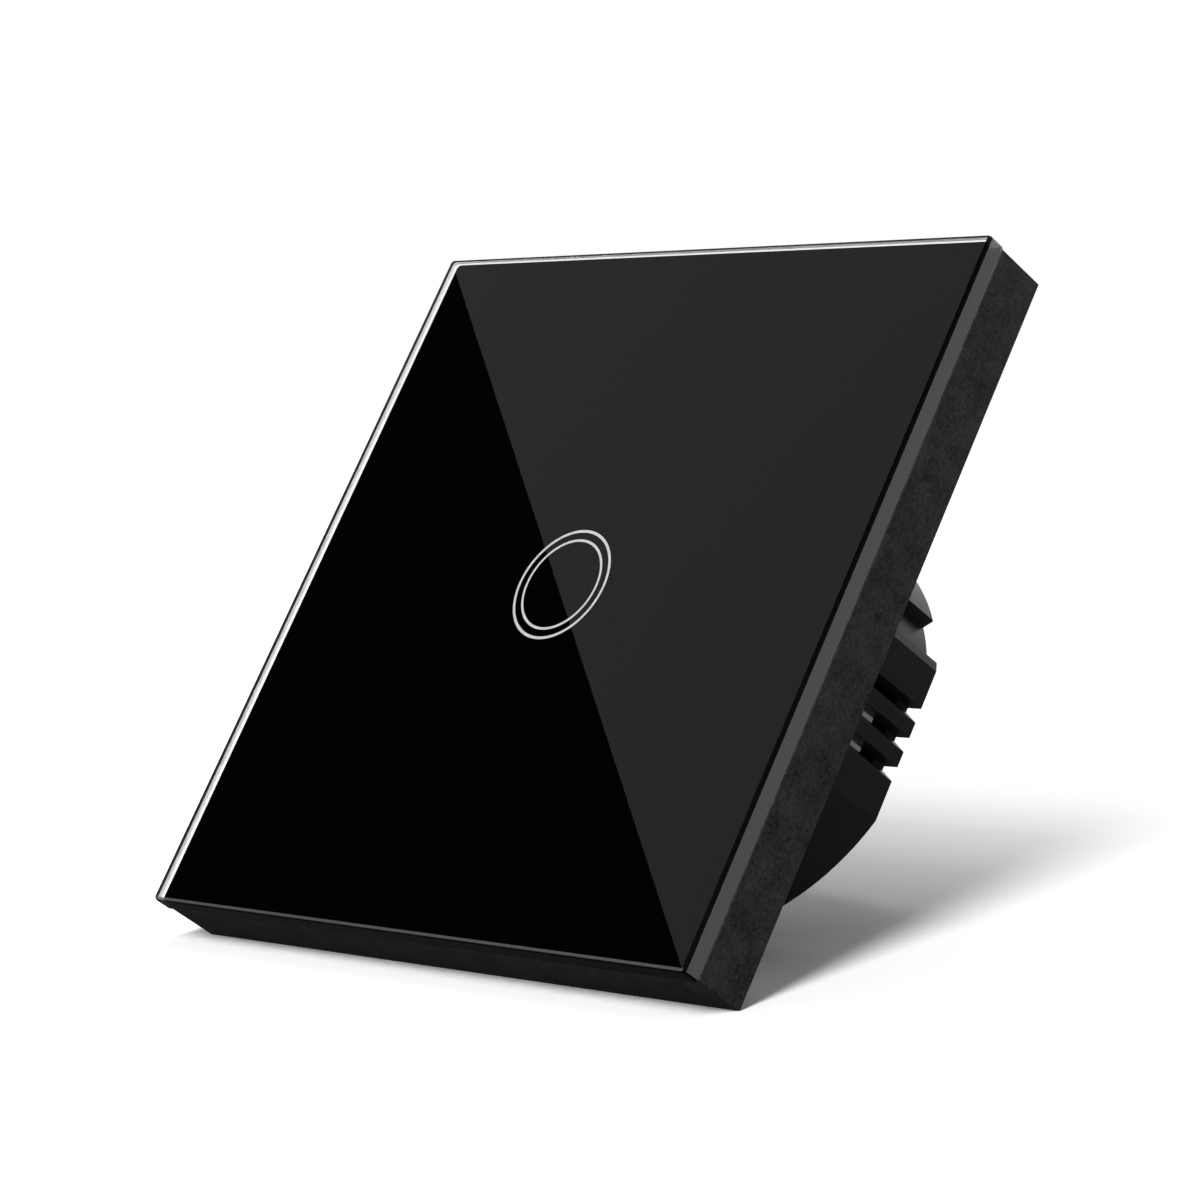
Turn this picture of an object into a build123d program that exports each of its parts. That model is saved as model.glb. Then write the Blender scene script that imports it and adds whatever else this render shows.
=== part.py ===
from build123d import *
import math
import os

# A one-gang touch light switch with a glass front, as it sits on a wall.
# X runs to the right as seen from the room, Y into the wall and Z up.
# The origin is the middle of the switch on the surface of the wall.
# All sizes are in millimetres.

# Glass front
panel_size = 80.0
glass_corner = 0.5
glass_thickness = 2.11
glass_chamfer = 0.36

# Ink on the back of the glass, and the two pale rings printed in it
print_thickness = 0.12
print_margin = 0.45
ring_radius = 6.25
ring_line = 0.5
ring_gap = 0.6
inner_ring_line = 0.4

# Tape that bonds the glass to its frame
tape_thickness = 0.2
tape_margin = 0.55
tape_width = 8.0

# Moulded frame behind the glass
frame_depth = 6.2
frame_inset = 0.2
frame_corner = 0.2
frame_wall = 2.0
frame_ledge = 1.3
frame_ledge_width = 9.3
window_corner = 2.0
gusset_reach = 1.5
gusset_depth = 2.6
gusset_width = 1.0
gusset_places_share = (-0.32, -0.11, 0.11, 0.32)

# Catch on the frame's inner wall, one for each leaf spring
catch_width = 9.0
catch_height = 0.7
catch_rear_gap = 0.8
catch_groove_mouth = 2.4
catch_groove_floor = 0.8
catch_root = 0.5

# Steel plate on the wall
plate_gap = 2.3
plate_corner = 3.0
plate_thickness = 1.2
wall_screw_spacing = 60.0
wall_slot_width = 3.8
wall_slot_length = 7.6

# Screws from the front, through the carrier's posts into the plate
plate_screw_margin = 6.5
plate_screw_radius = 1.1
plate_screw_head = 2.0
plate_screw_head_depth = 1.2
plate_screw_sink = 0.2
screw_fit = 0.03
screw_head_fit = 0.15
cross_width = 0.5
cross_length = 2.4
cross_depth = 0.7

# Round rear body: its width and depth follow from the parts that it holds
drum_wall = 1.8
drum_rim_chamfer = 0.15
drum_hole_gap = 0.3
flange_rim = 3.4
flange_lip = 1.1
flange_thickness = 1.0

# Flat side of the body and its louvred slots
flat_cut = 1.6
flat_wall = 2.0
flat_front = 3.0
louvre_count = 3
louvre_spacing = 3.39
louvre_top = 4.34
louvre_mouth = 1.7
louvre_throat = 0.7
louvre_throat_depth = 0.35
louvre_margin = 3.2

# Groove above the flat
groove_depth = 1.35
groove_wall = 1.6
groove_start_angle = 23.6
groove_end_angle = 37.2
groove_margin_angle = 2.6
groove_gap = 0.9

# Ribs inside the body that the power board rests on
seat_rib_reach = 1.7
seat_rib_width = 2.0
seat_rib_angles = (45, 135, 225, 315)

# Power board and how it sits
power_board_thickness = 1.6
power_board_place = 3.0
board_gap = 0.3
board_post_width = 2.6
board_post_inset = 1.0
board_post_gap = 0.1

# Terminals: a screw turns in place and lifts a cage that grips the wire
terminal_spacing = 8.4
block_side = 1.3
block_end = 2.3
block_wall_gap = 2.0
block_rear_gap = 0.3
block_edge = 0.4
screw_radius = 1.5
screw_head_radius = 2.5
screw_head_depth = 1.7
screw_slot_width = 0.8
screw_slot_depth = 0.9
screw_head_sink = 0.5
screw_seat_thickness = 0.8
screw_hole_gap = 0.1
head_well_gap = 0.5
access_hole_radius = 3.1
contact_thickness = 0.8
contact_width = 4.0
contact_drop = 6.8
contact_tip_gap = 0.02
cage_width = 6.2
cage_side = 0.8
cage_length = 5.4
cage_nut = 1.8
cage_floor = 1.0
cage_open_gap = 4.2
cage_travel = 2.5
cage_fit = 0.1
thread_fit = 0.05
wire_hole_radius = 2.0
port_margin = 3.2
port_side = 0.2
port_depth = 1.7
port_pad_gap = 0.1
port_pad_rim = 0.8

# Carrier in front of the plate
clip_room = 2.8
carrier_corner = 3.0
carrier_floor = 1.0
carrier_wall = 1.4
carrier_front_gap = 0.2
post_width = 6.0
screw_window = 8.8
screw_window_margin = 1.0
screw_window_gap = 0.2
board_lip = 0.5
board_lip_width = 1.2
board_fit = 0.15
header_slot_width = 15.0
header_slot_height = 4.4

# Leaf springs that hold the glass front
clip_place = 20.0
clip_width = 8.0
clip_thickness = 0.35
clip_tail = 1.1
clip_seat = 4.1
clip_shoulder = 0.6
clip_crest_gap = 0.3
clip_crest_place = 2.9
clip_end_reach = 1.3
clip_end_place = 1.7
clip_fit = 0.05
clip_notch_gap = 0.3

# Touch board and what is on it
touch_board_size = 43.0
touch_board_corner = 2.0
touch_board_thickness = 0.8
spring_wire = 0.5
wire_sides = 4
spring_radius = 3.4
spring_turns = 3
spring_turn_steps = 10
spring_touch_gap = 0.05
guide_inner_radius = 4.5
guide_outer_radius = 7.0
guide_gap = 0.1
guide_foot_width = 1.2
guide_foot_spacing = 11.5
guide_cup = 1.0
led_length = 1.6
led_width = 0.8
led_height = 0.6
led_place = 5.6
chip_length = 8.7
chip_width = 3.9
chip_height = 1.1
chip_x = 0.0
chip_z = -13.5
chip_pin_spacing = 1.27
chip_pin_count = 6
chip_pin_width = 0.4
chip_pin_reach = 1.0
chip_pin_height = 0.25
passive_length = 1.6
passive_width = 0.8
passive_height = 0.5
passive_places_share = (
    (-0.33, 0.30), (-0.33, 0.20), (-0.33, 0.10), (-0.33, -0.16), (-0.33, -0.26), (-0.21, 0.36),
    (0.33, 0.30), (0.33, 0.20), (0.33, -0.16), (0.33, -0.26), (0.33, -0.36), (-0.21, -0.12),
)

# Plug and socket between the boards
header_pins = 5
header_spacing = 2.54
header_width = 2.5
header_place = 12.0
header_base = 1.6
header_pin = 0.6
socket_length_share = 0.55

# Parts on the power board: can, film capacitor, relay and transistor stand in a row from left to right
part_gap = 1.675
relay_width = 15.4
relay_height = 19.0
relay_depth = 15.2
relay_block_gap = 1.25
relay_rear_gap = 2.6
relay_edge = 0.5
relay_cap_step = 0.25
relay_base = 2.6
film_width = 6.0
film_height = 13.0
film_depth = 12.0
film_block_gap = 1.8
film_edge = 0.6
bulk_radius = 4.0
bulk_depth = 11.5
bulk_foot = 1.0
bulk_step = 0.4
bulk_choke_gap = 1.3
choke_width = 7.0
choke_core_radius = 2.9
choke_depth = 9.0
choke_lip = 1.2
choke_block_gap = 1.6
varistor_radius = 3.6
varistor_thickness = 3.4
varistor_wall_gap = 7.1
varistor_lead = 0.5
varistor_lead_length = 1.6
varistor_lead_spacing = 5.0
fuse_radius = 1.7
fuse_cap_radius = 1.9
fuse_cap_length = 1.4
fuse_length = 9.0
fuse_wall_gap = 6.7
bridge_width = 4.7
bridge_height = 3.9
bridge_depth = 2.5
bridge_film_gap = 1.55
bridge_edge = 0.3
tab_width = 9.6
tab_thickness = 1.3
tab_length = 14.9
tab_gap = 0.1
tab_z = -1.5
tab_hole_radius = 1.7
tab_hole_place = 3.0
tab_neck = 0.6
transistor_depth = 8.6
transistor_thickness = 3.0
transistor_lead_width = 0.8
transistor_lead_thickness = 0.5
transistor_lead_spacing = 2.54
transistor_lift = 0.8

# One overrun serves all cuts
overrun = 1.0

# Places along Y that follow from the sizes above: the room is towards minus Y
frame_front = -frame_depth
print_rear = frame_front - tape_thickness
glass_rear = print_rear - print_thickness
glass_front = glass_rear - glass_thickness
ledge_rear = frame_front + frame_ledge
plate_front = -plate_thickness
flange_front = plate_front - flange_thickness
carrier_front = flange_front - carrier_floor
carrier_wall_front = ledge_rear + carrier_front_gap
touch_front = carrier_front - touch_board_thickness
screw_head_front = carrier_wall_front + plate_screw_sink
screw_seat = screw_head_front + plate_screw_head_depth
power_rear = power_board_place + power_board_thickness
drum_inner_rear = power_rear + relay_depth + relay_rear_gap
drum_depth = drum_inner_rear + drum_wall
louvre_front = flat_front + louvre_margin
block_rear = drum_inner_rear - block_rear_gap
head_rear = block_rear - screw_head_sink
head_front = head_rear - screw_head_depth
seat_front = head_front - screw_seat_thickness
contact_place = seat_front - contact_drop
contact_rear = contact_place + contact_thickness
cage_floor_rear = contact_place - cage_open_gap
cage_front = cage_floor_rear - cage_floor
cage_rear = seat_front - cage_fit - cage_travel
wire_place = (contact_place + cage_floor_rear) / 2

# Sizes across the frame, the plate and the carrier
frame_half = panel_size / 2 - frame_inset
frame_inner = frame_half - frame_wall
plate_size = 2 * (frame_inner - plate_gap)
carrier_size = 2 * (frame_inner - clip_room)
plate_screw_place = carrier_size / 2 - plate_screw_margin
screw_window_start = (wall_screw_spacing - wall_slot_length) / 2 - screw_window_margin
screw_window_end = carrier_size / 2 - carrier_wall - screw_window_gap

# Sizes across the rear body, from the row of parts between its two flats
relay_base_width = relay_width + 2 * relay_cap_step
transistor_row = transistor_thickness + tab_thickness + tab_gap
row_width = 2 * bulk_radius + film_width + relay_base_width + transistor_row + 4 * part_gap
flat_inner = row_width / 2
flat_place = flat_inner + flat_wall
drum_radius = flat_place + flat_cut
drum_inner_radius = drum_radius - drum_wall
flange_radius = drum_radius + flange_rim
flange_across = 2 * (drum_radius + flange_lip)
groove_floor_radius = drum_radius - groove_depth
seat_rib_inner_radius = drum_inner_radius - seat_rib_reach
board_post_place = seat_rib_inner_radius - board_post_inset
tab_face = flat_inner - tab_gap
tab_back = tab_face - tab_thickness

# Places of the terminals and of the other parts on the power board
block_width = terminal_spacing + cage_width + 2 * block_side
block_height = cage_length + 2 * block_end
block_bottom = drum_inner_radius - block_wall_gap
block_top = block_height - block_bottom
port_width = block_width + 2 * port_side
port_floor = drum_radius - port_depth
terminal_z = block_top - block_height / 2
bulk_x = part_gap + bulk_radius - flat_inner
film_x = bulk_x + bulk_radius + part_gap + film_width / 2
relay_x = film_x + film_width / 2 + part_gap + relay_base_width / 2
relay_z = block_top + relay_block_gap + relay_cap_step + relay_height / 2
film_z = block_top + film_block_gap + film_height / 2
choke_z = block_top + choke_block_gap + choke_width / 2
bulk_z = choke_z + choke_width / 2 + bulk_choke_gap + bulk_radius
bridge_z = film_z + film_height / 2 + bridge_film_gap + bridge_height / 2
varistor_z = drum_inner_radius - varistor_wall_gap
fuse_z = drum_inner_radius - fuse_wall_gap


def across(y):
    """Plane at a depth y, drawn as seen from the room: X to the right and Z up."""
    return Plane(origin=(0, y, 0), x_dir=(1, 0, 0), z_dir=(0, -1, 0))


def prism(outline, front, rear):
    """Outline in X and Z, given thickness from front to rear."""
    return extrude(across(rear) * outline, rear - front)


def block(x_from, x_to, front, rear, z_from, z_to):
    """Square-cornered block between two limits each way."""
    middle = Pos((x_from + x_to) / 2, (z_from + z_to) / 2)
    return prism(middle * Rectangle(x_to - x_from, z_to - z_from), front, rear)


def rod(radius, front, rear, x=0, z=0):
    """Round bar along Y."""
    return prism(Pos(x, z) * Circle(radius), front, rear)


def turned(points, x=0, z=0):
    """Solid of revolution about a line along Y, from (radius, y) points."""
    face = make_face(Polyline(*points, close=True))
    return Pos(x, 0, z) * revolve(face, Axis.Y)


def at_angle(radius, angle):
    """Point (x, z) at a radius and an angle above the X axis."""
    return radius * math.cos(math.radians(angle)), radius * math.sin(math.radians(angle))


def both_sides(shape):
    """A shape and its mirror image across the middle."""
    return [shape, mirror(shape, Plane.YZ)]


def group(shapes):
    """Separate pieces kept as separate solids of one node."""
    return Compound(children=[s for shape in shapes for s in shape.solids()])


def glass_panel():
    """Clear square sheet with its front edges ground."""
    sheet = prism(RectangleRounded(panel_size, panel_size, glass_corner), glass_front, glass_rear)
    return chamfer(sheet.faces().sort_by(Axis.Y)[0].edges(), glass_chamfer)


def ring_bands():
    """Outer and inner radius of each printed ring."""
    inner_radius = ring_radius - ring_line - ring_gap
    return [(ring_radius, ring_radius - ring_line), (inner_radius, inner_radius - inner_ring_line)]


def back_print():
    """Ink over the whole back, left out where the rings are."""
    size = panel_size - 2 * print_margin
    outline = RectangleRounded(size, size, glass_corner)
    for outer, inner in ring_bands():
        outline -= Circle(outer) - Circle(inner)
    return group([prism(outline, glass_rear, print_rear)])


def ring_print():
    """Two thin pale rings in the gaps of the ink."""
    rings = [Circle(outer) - Circle(inner) for outer, inner in ring_bands()]
    return group([prism(ring, glass_rear, print_rear) for ring in rings])


def adhesive_tape():
    """Square frame of tape between the ink and the moulded frame."""
    size = panel_size - 2 * tape_margin
    hole = size - 2 * tape_width
    return prism(Rectangle(size, size) - Rectangle(hole, hole), print_rear, frame_front)


def catch(z):
    """Pair of pads on the frame's right inner wall, with a groove between for the crest of a leaf spring."""
    wall = frame_inner + catch_root
    inner = frame_inner - catch_height
    rear = -catch_rear_gap
    front_pad = Polyline(
        (wall, ledge_rear - catch_root), (inner, ledge_rear - catch_root),
        (inner, -clip_crest_place - catch_groove_mouth / 2),
        (frame_inner, -clip_crest_place - catch_groove_floor / 2),
        (wall, -clip_crest_place - catch_groove_floor / 2), close=True,
    )
    rear_pad = Polyline(
        (wall, -clip_crest_place + catch_groove_floor / 2),
        (frame_inner, -clip_crest_place + catch_groove_floor / 2),
        (inner, -clip_crest_place + catch_groove_mouth / 2),
        (inner, rear - catch_height), (frame_inner, rear), (wall, rear), close=True,
    )
    place = Pos(0, 0, z - catch_width / 2)
    return [extrude(place * make_face(pad), catch_width) for pad in (front_pad, rear_pad)]


def panel_frame():
    """Moulded rim with a ledge for the glass, catches for the springs and gussets in its corners."""
    size = 2 * frame_half
    body = prism(RectangleRounded(size, size, frame_corner), frame_front, 0)
    inside = 2 * frame_inner
    window = size - 2 * frame_ledge_width
    body -= prism(Rectangle(inside, inside), ledge_rear, overrun)
    body -= prism(RectangleRounded(window, window, window_corner), frame_front - overrun, overrun)
    for z in (-clip_place, clip_place):
        for pad in catch(z):
            body += both_sides(pad)
    for turn in (0, 90, 180, 270):
        for share in gusset_places_share:
            body += Rot(0, turn, 0) * gusset(share * size)
    return body


def gusset(z):
    """Small triangular web between the frame's wall and its ledge."""
    wall = frame_inner + catch_root
    face = make_face(Polyline(
        (wall, ledge_rear - catch_root), (frame_inner - gusset_reach, ledge_rear - catch_root),
        (frame_inner - gusset_reach, ledge_rear), (frame_inner, ledge_rear + gusset_depth),
        (wall, ledge_rear + gusset_depth), close=True,
    ))
    return extrude(Pos(0, 0, z - gusset_width / 2) * face, gusset_width)


def wall_slot():
    """Outline of one slotted hole for a wall box screw, to the right of the middle."""
    return Pos(wall_screw_spacing / 2, 0) * SlotOverall(wall_slot_length, wall_slot_width)


def mounting_plate():
    """Pressed steel plate with a hole for the body and four slots."""
    outline = RectangleRounded(plate_size, plate_size, plate_corner)
    outline -= Circle(drum_radius + drum_hole_gap)
    for turn in (0, 90, 180, 270):
        outline -= Rot(0, 0, turn) * wall_slot()
    for x, z in plate_screw_places():
        outline -= Pos(x, z) * Circle(plate_screw_radius + screw_fit)
    return prism(outline, plate_front, 0)


def plate_screw_places():
    """Middle (x, z) of each screw, in two opposite corners."""
    return [(-plate_screw_place, plate_screw_place), (plate_screw_place, -plate_screw_place)]


def plate_screws():
    """Two screws with a flat head in the carrier and their tips flush with the wall side of the plate."""
    screws = []
    for x, z in plate_screw_places():
        screw = rod(plate_screw_head, screw_head_front, screw_seat, x, z)
        screw += rod(plate_screw_radius, screw_seat, 0, x, z)
        for width, height in ((cross_length, cross_width), (cross_width, cross_length)):
            cut = Pos(x, z) * Rectangle(width, height)
            screw -= prism(cut, screw_head_front - overrun, screw_head_front + cross_depth)
        screws.append(screw)
    return group(screws)


def drum_outline():
    """Circle of the rear body with a flat on each side."""
    return Circle(drum_radius) & Rectangle(2 * flat_place, 2 * drum_radius)


def sector(inner, outer, start, end):
    """Part of a ring between two angles, right of the middle, as an outline in X and Z."""
    reach = outer / math.cos(math.radians((end - start) / 2)) + overrun
    wedge = make_face(Polyline((0, 0), at_angle(reach, start), at_angle(reach, end), close=True))
    return (Circle(outer) - Circle(inner)) & wedge


def drum_cavity():
    """Room for the power board and its parts."""
    front = Circle(drum_inner_radius) & Rectangle(2 * flat_inner, 2 * drum_radius)
    cavity = prism(front, flange_front - overrun, drum_inner_rear)
    thick = sector(groove_floor_radius - groove_wall, drum_radius,
                   groove_start_angle - groove_margin_angle, groove_end_angle + groove_margin_angle)
    for side in both_sides(prism(thick, power_rear, drum_depth)):
        cavity -= side
    for angle in seat_rib_angles:
        middle = (seat_rib_inner_radius + drum_radius) / 2
        rib = Rectangle(drum_radius - seat_rib_inner_radius, seat_rib_width)
        cavity -= prism(Pos(*at_angle(middle, angle)) * (Rot(0, 0, angle) * rib), power_rear, drum_depth)
    pad_top = -block_bottom - port_pad_gap
    reach = wire_hole_radius + port_pad_rim
    cavity -= block(-block_width / 2, block_width / 2, wire_place - reach, wire_place + reach,
                    -drum_radius, pad_top)
    return cavity


def louvre(index, inner):
    """Section of one slot in the right flat: square under its upper edge, sloped on its lower one."""
    top = louvre_top - index * louvre_spacing
    outer = flat_place + overrun
    throat = flat_inner + louvre_throat_depth
    slope = (louvre_mouth - louvre_throat) / (flat_place - throat)
    outer_bottom = top - louvre_mouth - slope * overrun
    return make_face(Polyline(
        (inner, top), (outer, top), (outer, outer_bottom),
        (throat, top - louvre_throat), (inner, top - louvre_throat), close=True,
    ))


def terminal_xs():
    """Place of each terminal along X."""
    return (-terminal_spacing / 2, terminal_spacing / 2)


def rear_housing():
    """Moulded body: flange, drum with two flats, louvred slots, grooves, wire and screwdriver holes."""
    drum = prism(Circle(drum_radius), plate_front, flat_front) + prism(drum_outline(), flat_front, drum_depth)
    drum = chamfer(drum.faces().sort_by(Axis.Y)[-1].edges(), drum_rim_chamfer)
    flange = Circle(flange_radius) & Rectangle(flange_across, flange_across)
    body = drum + prism(flange, flange_front, plate_front)
    groove = sector(groove_floor_radius, drum_radius + overrun, groove_start_angle, groove_end_angle)
    for side in both_sides(prism(groove, power_rear + groove_gap, drum_depth + overrun)):
        body -= side
    body -= drum_cavity()
    for index in range(louvre_count):
        slot = prism(louvre(index, flat_inner - overrun), louvre_front, drum_inner_rear)
        slot += prism(louvre(index, flat_inner), louvre_front, drum_depth + overrun)
        for side in both_sides(slot):
            body -= side
    body -= block(-port_width / 2, port_width / 2, wire_place - port_margin, wire_place + port_margin,
                  -drum_radius - overrun, -port_floor)
    for x in terminal_xs():
        body -= rod(access_hole_radius, drum_inner_rear - overrun, drum_depth + overrun, x, terminal_z)
        body -= wire_hole(x, -drum_radius, -block_bottom)
    return body


def wire_hole(x, z_from, z_to):
    """Round hole along Z that a wire goes in through."""
    plane = Plane(origin=(x, wire_place, z_from - overrun), z_dir=(0, 0, 1))
    return extrude(plane * Circle(wire_hole_radius), z_to - z_from + 2 * overrun)


def front_carrier():
    """Moulded tray that holds the touch board and clamps the rear body to the plate."""
    outline = RectangleRounded(carrier_size, carrier_size, carrier_corner)
    inside = carrier_size - 2 * carrier_wall
    rim = outline - RectangleRounded(inside, inside, carrier_corner - carrier_wall)
    body = prism(outline, carrier_front, flange_front) + prism(rim, carrier_wall_front, plate_front)
    for x, z in plate_screw_places():
        body += prism(Pos(x, z) * Rectangle(post_width, post_width), carrier_wall_front, plate_front)
    lip = touch_board_size + 2 * board_fit
    edge = lip + 2 * board_lip_width
    surround = Rectangle(edge, edge) - Rectangle(lip, lip)
    body += prism(surround, touch_front - board_lip, carrier_front)
    for angle in seat_rib_angles:
        post = Rot(0, 0, angle) * Rectangle(board_post_width, board_post_width)
        body += prism(Pos(*at_angle(board_post_place, angle)) * post, flange_front,
                      power_board_place - board_post_gap)
    for turn in (0, 90, 180, 270):
        window = Rectangle(screw_window_end - screw_window_start, screw_window)
        middle = Pos((screw_window_start + screw_window_end) / 2, 0)
        body -= prism(Rot(0, 0, turn) * (middle * window), carrier_front - overrun, flange_front + overrun)
    body -= block(-header_slot_width / 2, header_slot_width / 2,
                  carrier_front - overrun, flange_front + overrun,
                  header_place - header_slot_height / 2, header_place + header_slot_height / 2)
    for x, z in plate_screw_places():
        body -= rod(plate_screw_head + screw_head_fit, carrier_wall_front - overrun, screw_seat, x, z)
        body -= rod(plate_screw_radius + screw_fit, screw_seat - overrun, plate_front + overrun, x, z)
    for z in (-clip_place, clip_place):
        half = clip_width / 2 + clip_notch_gap
        notch = block(carrier_size / 2 - carrier_wall - overrun, carrier_size / 2 + overrun,
                      carrier_wall_front - overrun, -clip_seat, z - half, z + half)
        for side in both_sides(notch):
            body -= side
    return body


def panel_clips():
    """Four strips of spring steel, hooked over the carrier's wall and bowed out to the frame."""
    inner = carrier_size / 2 - carrier_wall - clip_fit - clip_thickness / 2
    outer = carrier_size / 2
    top = -clip_seat - clip_fit - clip_thickness / 2
    path = Polyline(
        (inner, top + clip_tail), (inner, top), (outer + clip_shoulder, top),
        (outer + clip_room - clip_crest_gap, -clip_crest_place), (outer + clip_end_reach, -clip_end_place),
    )
    start = Plane(origin=path @ 0, x_dir=(0, 0, 1), z_dir=path % 0)
    clip = sweep(start * Rectangle(clip_width, clip_thickness), path, transition=Transition.RIGHT)
    return group([Pos(0, 0, z) * side for z in (-clip_place, clip_place) for side in both_sides(clip)])


def touch_board():
    """Square board in the carrier's lip."""
    outline = RectangleRounded(touch_board_size, touch_board_size, touch_board_corner)
    return prism(outline, touch_front, carrier_front)


def touch_chip():
    """Chip body with a row of pins on each long side."""
    body = block(chip_x - chip_length / 2, chip_x + chip_length / 2, touch_front - chip_height, touch_front,
                 chip_z - chip_width / 2, chip_z + chip_width / 2)
    reach = chip_width / 2 + chip_pin_reach
    for index in range(chip_pin_count):
        x = chip_x + (index - (chip_pin_count - 1) / 2) * chip_pin_spacing
        body += block(x - chip_pin_width / 2, x + chip_pin_width / 2,
                      touch_front - chip_pin_height, touch_front, chip_z - reach, chip_z + reach)
    return body


def touch_passives():
    """Small chip parts on the touch board."""
    parts = []
    for share_x, share_z in passive_places_share:
        x = share_x * touch_board_size
        z = share_z * touch_board_size
        parts.append(block(x - passive_length / 2, x + passive_length / 2,
                           touch_front - passive_height, touch_front,
                           z - passive_width / 2, z + passive_width / 2))
    return group(parts)


def status_leds():
    """Two lamps under the light guide."""
    lamp = block(led_place - led_width / 2, led_place + led_width / 2,
                 touch_front - led_height, touch_front, -led_length / 2, led_length / 2)
    return group(both_sides(lamp))


def light_guide():
    """Clear ring that takes the lamps' light to the printed rings, on two feet."""
    front = print_rear + guide_gap
    ring = Circle(guide_outer_radius) - Circle(guide_inner_radius)
    body = prism(ring, front, touch_front - guide_cup)
    foot = Rectangle(guide_foot_width, guide_foot_width)
    for z in (-guide_foot_spacing / 2, guide_foot_spacing / 2):
        body += prism(Pos(0, z) * foot, touch_front - guide_cup, touch_front)
    return body


def touch_spring():
    """Coil of wire from the touch board to the ink behind the touch spot, in short straight steps."""
    start = touch_front - spring_wire
    end = print_rear + spring_touch_gap + spring_wire
    steps = spring_turns * spring_turn_steps
    points = []
    for step in range(steps + 1):
        x, z = at_angle(spring_radius, step * 360 / spring_turn_steps)
        points.append((x, start + (end - start) * step / steps, z))
    path = Polyline(*points)
    section = Plane(origin=path @ 0, z_dir=path % 0) * RegularPolygon(spring_wire / 2, wire_sides)
    return sweep(section, path, transition=Transition.RIGHT)


def header_xs():
    """Place of each pin along X."""
    return [(index - (header_pins - 1) / 2) * header_spacing for index in range(header_pins)]


def board_header():
    """Row of pins standing on the power board, in a plastic strip."""
    length = header_pins * header_spacing
    body = block(-length / 2, length / 2, power_board_place - header_base, power_board_place,
                 header_place - header_width / 2, header_place + header_width / 2)
    middle = carrier_front + (power_board_place - carrier_front) * socket_length_share
    for x in header_xs():
        body += block(x - header_pin / 2, x + header_pin / 2, middle - header_base, power_board_place,
                      header_place - header_pin / 2, header_place + header_pin / 2)
    return body


def header_socket():
    """Socket strip on the back of the touch board, over the pins."""
    length = header_pins * header_spacing
    rear = carrier_front + (power_board_place - carrier_front) * socket_length_share
    body = block(-length / 2, length / 2, carrier_front, rear,
                 header_place - header_width / 2, header_place + header_width / 2)
    half = header_pin / 2 + screw_fit
    for x in header_xs():
        body -= block(x - half, x + half, rear - header_base - board_gap, rear + overrun,
                      header_place - half, header_place + half)
    return body


def power_board():
    """Round board with two flats, on the ribs of the rear body."""
    outline = Circle(drum_inner_radius - board_gap)
    outline &= Rectangle(2 * (flat_inner - board_gap), 2 * drum_radius)
    return prism(outline, power_board_place, power_rear)


def relay():
    """Sealed relay: a base with a slightly smaller cap."""
    place = Pos(relay_x, relay_z)
    cap = prism(place * Rectangle(relay_width, relay_height), power_rear, power_rear + relay_depth)
    cap = chamfer(cap.faces().sort_by(Axis.Y)[-1].edges(), relay_edge)
    foot = Rectangle(relay_base_width, relay_height + 2 * relay_cap_step)
    return cap + prism(place * foot, power_rear, power_rear + relay_base)


def film_capacitor():
    """Boxed film capacitor with bevelled edges."""
    outline = Pos(film_x, film_z) * Rectangle(film_width, film_height)
    body = prism(outline, power_rear, power_rear + film_depth)
    return chamfer(body.faces().sort_by(Axis.Y)[-1].edges(), film_edge)


def bulk_capacitor():
    """Round can on a narrower rubber foot."""
    foot = power_rear + bulk_foot
    can = rod(bulk_radius, foot, power_rear + bulk_depth, bulk_x, bulk_z)
    return can + rod(bulk_radius - bulk_step, power_rear, foot, bulk_x, bulk_z)


def inductor():
    """Winding on a bobbin with two square lips."""
    top = power_rear + choke_depth
    lip = Pos(bulk_x, choke_z) * Rectangle(choke_width, choke_width)
    body = rod(choke_core_radius, power_rear, top, bulk_x, choke_z)
    return body + prism(lip, power_rear, power_rear + choke_lip) + prism(lip, top - choke_lip, top)


def varistor():
    """Round disc standing on two leads."""
    centre = power_rear + varistor_lead_length + varistor_radius
    body = extrude(Plane(origin=(film_x, centre, varistor_z - varistor_thickness / 2), z_dir=(0, 0, 1))
                   * Circle(varistor_radius), varistor_thickness)
    lead = Rectangle(varistor_lead, varistor_lead)
    for x in (-varistor_lead_spacing / 2, varistor_lead_spacing / 2):
        body += prism(Pos(film_x + x, varistor_z) * lead, power_rear, centre)
    return body


def fuse_resistor():
    """Round resistor lying on the board, with a cap on each end."""
    plane = Plane(origin=(relay_x, power_rear + fuse_cap_radius, fuse_z), z_dir=(1, 0, 0))
    body = extrude(plane * Circle(fuse_radius), fuse_length / 2, both=True)
    for side in (-1, 1):
        cap = plane.offset(side * (fuse_length - fuse_cap_length) / 2)
        body += extrude(cap * Circle(fuse_cap_radius), fuse_cap_length / 2, both=True)
    return body


def bridge_rectifier():
    """Small moulded bridge."""
    outline = Pos(film_x, bridge_z) * Rectangle(bridge_width, bridge_height)
    body = prism(outline, power_rear, power_rear + bridge_depth)
    return chamfer(body.faces().sort_by(Axis.Y)[-1].edges(), bridge_edge)


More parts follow.
